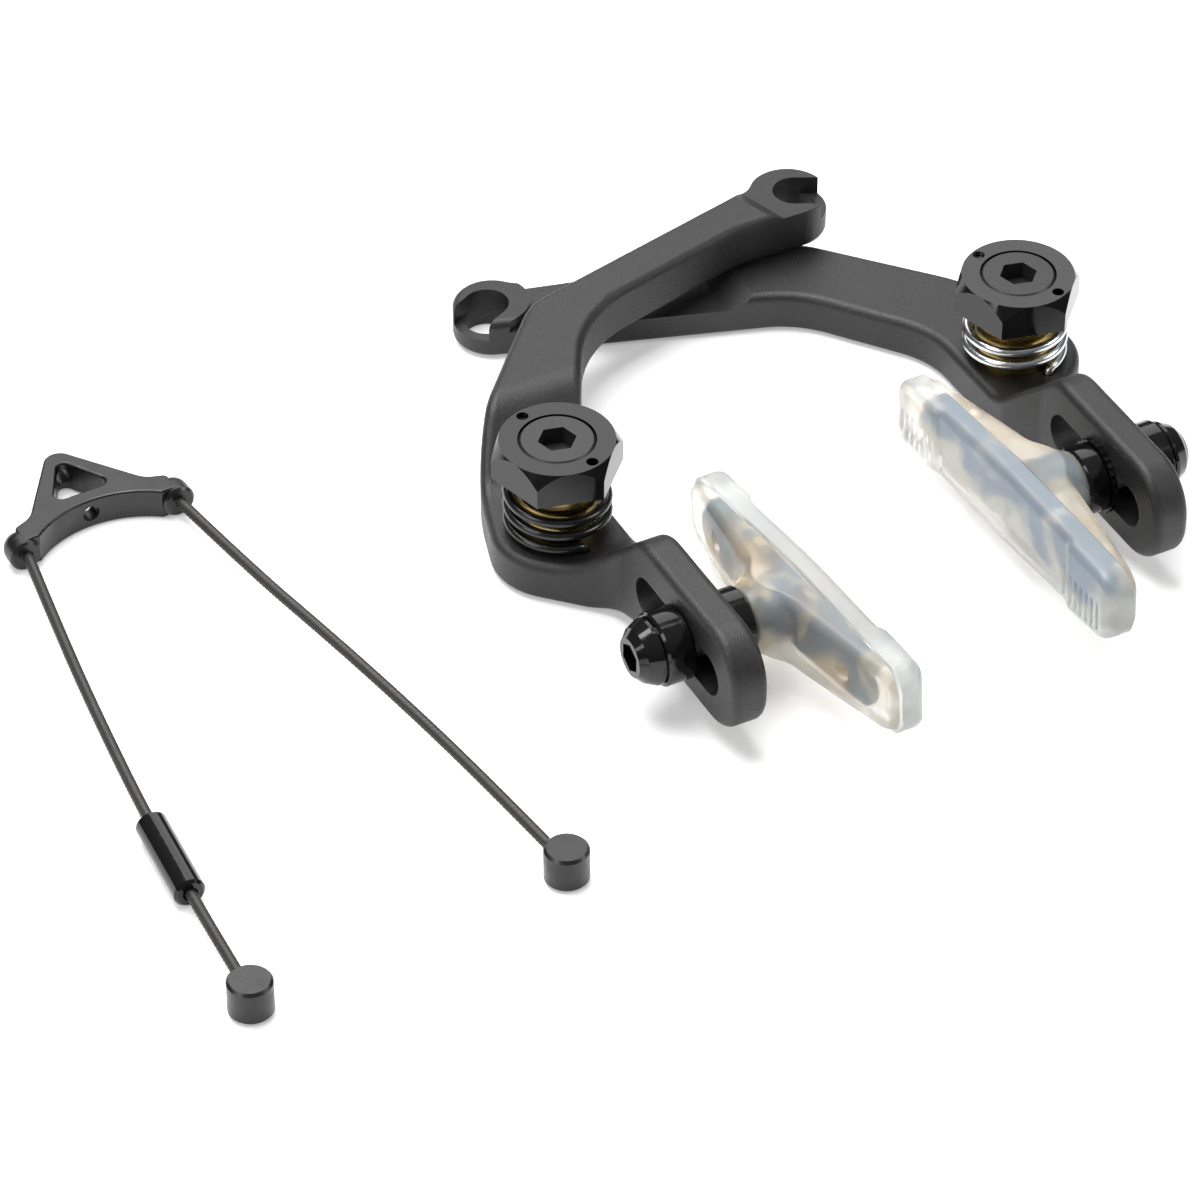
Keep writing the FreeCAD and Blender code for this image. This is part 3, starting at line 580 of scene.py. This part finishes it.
def strand_points(line, sizes):
    """Section of round lobes, one for each strand, carried along the line and turned once per lay. Also the
    even line that it is carried along."""
    steps = np.linalg.norm(np.diff(line, axis=0), axis=1)
    along = np.concatenate([[0.0], np.cumsum(steps)])
    even = np.linspace(0.0, along[-1], WIRE_STATIONS)
    path = np.stack([np.interp(even, along, line[:, i]) for i in range(3)], axis=-1)
    tangent = np.gradient(path, axis=0)
    tangent /= np.linalg.norm(tangent, axis=1, keepdims=True)
    side = np.cross(tangent, (0.0, 0.0, 1.0))
    side /= np.linalg.norm(side, axis=1, keepdims=True)
    up = np.cross(side, tangent)
    angle = np.linspace(0.0, 2 * np.pi, WIRE_PLACES, endpoint=False)[None, :]
    turn = sizes.strands * (angle - 2 * np.pi * even[:, None] / sizes.lay) / 2
    groove = 0.20
    radius = sizes.radius * (1.0 - groove + groove * np.abs(np.cos(turn)))
    offset = np.cos(angle)[..., None] * side[:, None] + np.sin(angle)[..., None] * up[:, None]
    return path[:, None] + radius[..., None] * offset, path


def coil_line(side, sizes):
    """Middle line of a return spring about its pivot, in millimetres: a leg up out of the arm, a helix
    whose height grows with its turn, and a leg up into the nut. Its corners are rounded by a moving
    average. Also the height of the coil's end."""
    leg_angle, nut_angle, hand, tip = COILS[side]
    sweep = (hand * (nut_angle - leg_angle)) % 360 + 360 * sizes.turns
    turn = np.linspace(0.0, sweep, HELIX_STEPS)
    angle = np.radians(leg_angle + hand * turn)
    radius, low = sizes.radius / MM, sizes.low / MM
    height = low + sizes.pitch / MM * turn / 360
    helix = np.stack([radius * np.cos(angle), radius * np.sin(angle), height], axis=-1)
    foot, top = helix[:1].copy(), helix[-1:].copy()
    foot[0, 2], top[0, 2] = sizes.foot / MM, tip
    line = np.concatenate([foot, helix, top])
    along = np.concatenate([[0.0], np.cumsum(np.linalg.norm(np.diff(line, axis=0), axis=1))])
    even = np.linspace(0.0, along[-1], SPRING_STATIONS)
    line = np.stack([np.interp(even, along, line[:, i]) for i in range(3)], axis=-1)
    near = 3
    wide = np.pad(line, ((near, near), (0, 0)), mode="reflect", reflect_type="odd")
    return np.mean([wide[i:i + len(line)] for i in range(2 * near + 1)], axis=0), helix[-1, 2]


def coil_points(line, wire):
    """Round wire carried along a line about the Z axis: circles across it, set out from the axis."""
    tangent = np.gradient(line, axis=0)
    tangent /= np.linalg.norm(tangent, axis=1, keepdims=True)
    out = line * (1.0, 1.0, 0.0)
    out -= tangent * (out * tangent).sum(axis=1, keepdims=True)
    out /= np.linalg.norm(out, axis=1, keepdims=True)
    across = np.cross(tangent, out)
    angle = np.linspace(0.0, 2 * np.pi, SPRING_PLACES, endpoint=False)[None, :, None]
    return line[:, None] + wire * (np.cos(angle) * out[:, None] + np.sin(angle) * across[:, None])


class UBRAKE_OT_stage(bpy.types.Operator):
    """Make the floor, the lights and the camera."""

    bl_idname = "ubrake.stage"
    bl_label = "Stage"

    def execute(self, context):
        scene = context.scene
        view = settings("camera")
        mesh = bpy.data.meshes.new("floor")
        far = FLOOR_REACH
        mesh.from_pydata([(-far, -far, 0), (far, -far, 0), (far, far, 0), (-far, far, 0)], [], [(0, 1, 2, 3)])
        white = (1.0, 1.0, 1.0, 1.0)
        material, tree, shader, _ = finish_named("paper_white_matt")
        fill(tree, shader, {"Base Color": settings("finishes").floor, "Roughness": 0.9,
                            "Specular IOR Level": 0.1, "Emission Color": white, "Emission Strength": 0.3})
        mesh.materials.append(material)
        floor = bpy.data.objects.new("floor", mesh)
        floor.location.z = FLOOR_Z
        scene.collection.objects.link(floor)

        # The room is brighter overhead than at the horizon.
        world = bpy.data.worlds.new("studio")
        scene.world = world
        world.use_nodes = True
        tree = world.node_tree
        ray = add(tree, "ShaderNodeTexCoord").outputs["Generated"]
        height = add(tree, "ShaderNodeSeparateXYZ", {"Vector": ray}).outputs["Z"]
        glow = add(tree, "ShaderNodeMapRange", {"Value": height, "From Min": -0.1, "From Max": 0.9,
                                                "To Min": 0.05, "To Max": 0.34})
        fill(tree, tree.nodes["Background"], {"Color": white, "Strength": glow.outputs["Result"]})
        for name, (spot, size, power) in LIGHTS.items():
            light = bpy.data.lights.new(name, "AREA")
            light.size = size
            light.energy = power
            lamp = bpy.data.objects.new(name, light)
            lamp.location = spot
            lamp.rotation_euler = (-lamp.location).to_track_quat("-Z", "Y").to_euler()
            scene.collection.objects.link(lamp)

        camera = bpy.data.cameras.new("photo_view")
        camera.sensor_width = 36.0
        camera.lens = view.focal
        camera.clip_start, camera.clip_end = 0.01, 20.0
        eye = bpy.data.objects.new("photo_view", camera)
        a, e = view.azimuth, view.elevation
        back = np.array((math.sin(a) * math.cos(e), -math.cos(a) * math.cos(e), math.sin(e)))
        eye.location = np.array(view.target) + back * view.distance
        eye.rotation_mode = "XYZ"
        eye.rotation_euler = (math.pi / 2 - e, 0.0, a)
        scene.collection.objects.link(eye)
        scene.camera = eye
        scene.view_settings.view_transform = "Standard"
        return {"FINISHED"}


class UBRAKE_OT_cable(bpy.types.Operator):
    """Make the straddle wires and finish the hanger, crimp sleeve and barrel ends."""

    bl_idname = "ubrake.cable"
    bl_label = "Straddle cable"

    def execute(self, context):
        sizes = settings("cable")
        strand = dark_strand()
        for side in SIDES:
            points, path = strand_points(spline_line(ROUTES[side]), sizes)
            wire = grid_mesh(side + "_strand", points[::-1], [strand], capped=True)
            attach(wire, "base")
            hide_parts(side + "_wire")
        dress(["hanger"] + both("barrel"), tumbled_anodised_aluminium())
        dress(["crimp_sleeve"], gloss_anodised_aluminium())
        return {"FINISHED"}


class UBRAKE_OT_arms(bpy.types.Operator):
    """Finish the forged arms."""

    bl_idname = "ubrake.arms"
    bl_label = "Arms"

    def execute(self, context):
        dress(both("arm"), blasted_anodised_aluminium())
        return {"FINISHED"}


class UBRAKE_OT_pivots(bpy.types.Operator):
    """Finish the sleeves, bolts and tension nuts."""

    bl_idname = "ubrake.pivots"
    bl_label = "Pivots"

    def execute(self, context):
        dress(both("pivot_sleeve"), turned_brass())
        dress(both("pivot_bolt"), phosphated_steel())
        dress(both("tension_nut"), gloss_anodised_aluminium())
        return {"FINISHED"}


class UBRAKE_OT_springs(bpy.types.Operator):
    """Make the return springs, each in two pieces that meet at the cut."""

    bl_idname = "ubrake.springs"
    bl_label = "Springs"

    def execute(self, context):
        colours, sizes = settings("finishes"), settings("spring")
        finishes = {"left": spring_wire("spring_wire_oxidised", colours.spring_black, metallic=0.0,
                                        low=0.16, high=0.28),
                    "right": spring_wire("spring_wire_zinc", colours.spring_zinc, metallic=1.0,
                                         low=0.14, high=0.26)}
        wire, cut, top_gap = sizes.wire / MM, sizes.cut / MM, 0.3
        for side in SIDES:
            line, end = coil_line(side, sizes)
            points = (coil_points(line, wire) + (PIVOT_X[side], 0.0, 0.0)) * MM
            meet = int(np.searchsorted(line[:, 2], cut))
            foot = grid_mesh(side + "_spring_foot", points[:meet + 1], [finishes[side]], capped=True)
            coil = grid_mesh(side + "_spring_coil", points[meet:], [finishes[side]], capped=True)
            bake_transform(foot)
            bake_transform(coil)
            for piece in (foot, coil):
                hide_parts(side + "_spring")
        return {"FINISHED"}


class UBRAKE_OT_pad_hardware(bpy.types.Operator):
    """Finish the studs, washers, spacers and cap nuts."""

    bl_idname = "ubrake.pad_hardware"
    bl_label = "Pad hardware"

    def execute(self, context):
        dress(both("inner_washer", "inner_spacer", "outer_spacer", "cap_nut"), gloss_anodised_aluminium())
        dress(both("pad_stud"), passivated_steel())
        return {"FINISHED"}


class UBRAKE_OT_pads(bpy.types.Operator):
    """Make the moulded pads."""

    bl_idname = "ubrake.pads"
    bl_label = "Pads"

    def execute(self, context):
        colours = settings("finishes")
        cast = [moulded_urethane("urethane_cast_milky", colours.urethane, clear=0.82, rough=0.34, warm=0.15),
                moulded_urethane("urethane_cast_clear", colours.urethane_clear, clear=0.84, rough=0.34,
                                 warm=0.9)]
        shape, kinds = pad_points(settings("pad"))
        for side in SIDES:
            points = on_arm(shape, side)
            outward = points if side == "left" else points[::-1]
            pad = grid_mesh(side + "_moulded_pad", outward, cast, kinds, capped=True)
            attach(pad, side + "_pad")
            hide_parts(side + "_pad")
        return {"FINISHED"}


class UBRAKE_PT_panel(bpy.types.Panel):
    """Sidebar panel with the brake's groups."""

    bl_label = "U-brake"
    bl_idname = "UBRAKE_PT_panel"
    bl_space_type = "VIEW_3D"
    bl_region_type = "UI"
    bl_category = "U-brake"

    def draw(self, context):
        for step in STEPS:
            self.layout.operator(step.bl_idname)


GROUPS = {"finishes": UBRAKE_PG_finishes, "pad": UBRAKE_PG_pad, "cable": UBRAKE_PG_cable,
          "spring": UBRAKE_PG_spring, "camera": UBRAKE_PG_camera}
STEPS = (UBRAKE_OT_stage, UBRAKE_OT_cable, UBRAKE_OT_arms, UBRAKE_OT_pivots, UBRAKE_OT_springs,
         UBRAKE_OT_pad_hardware, UBRAKE_OT_pads)


def register():
    """Registers the settings, operators and panel."""
    for name, group in GROUPS.items():
        bpy.utils.register_class(group)
        setattr(bpy.types.Scene, "ubrake_" + name, bpy.props.PointerProperty(type=group))
    for made in STEPS + (UBRAKE_PT_panel,):
        bpy.utils.register_class(made)


def unregister():
    """Takes them away again."""
    for made in (UBRAKE_PT_panel,) + STEPS[::-1]:
        bpy.utils.unregister_class(made)
    for name, group in GROUPS.items():
        delattr(bpy.types.Scene, "ubrake_" + name)
        bpy.utils.unregister_class(group)


def main():
    """Builds the dressed brake."""
    register()
    bpy.ops.ubrake.stage()
    bpy.ops.ubrake.cable()
    bpy.ops.ubrake.arms()
    bpy.ops.ubrake.pivots()
    bpy.ops.ubrake.springs()
    bpy.ops.ubrake.pad_hardware()
    bpy.ops.ubrake.pads()


if __name__ == "__main__":
    main()
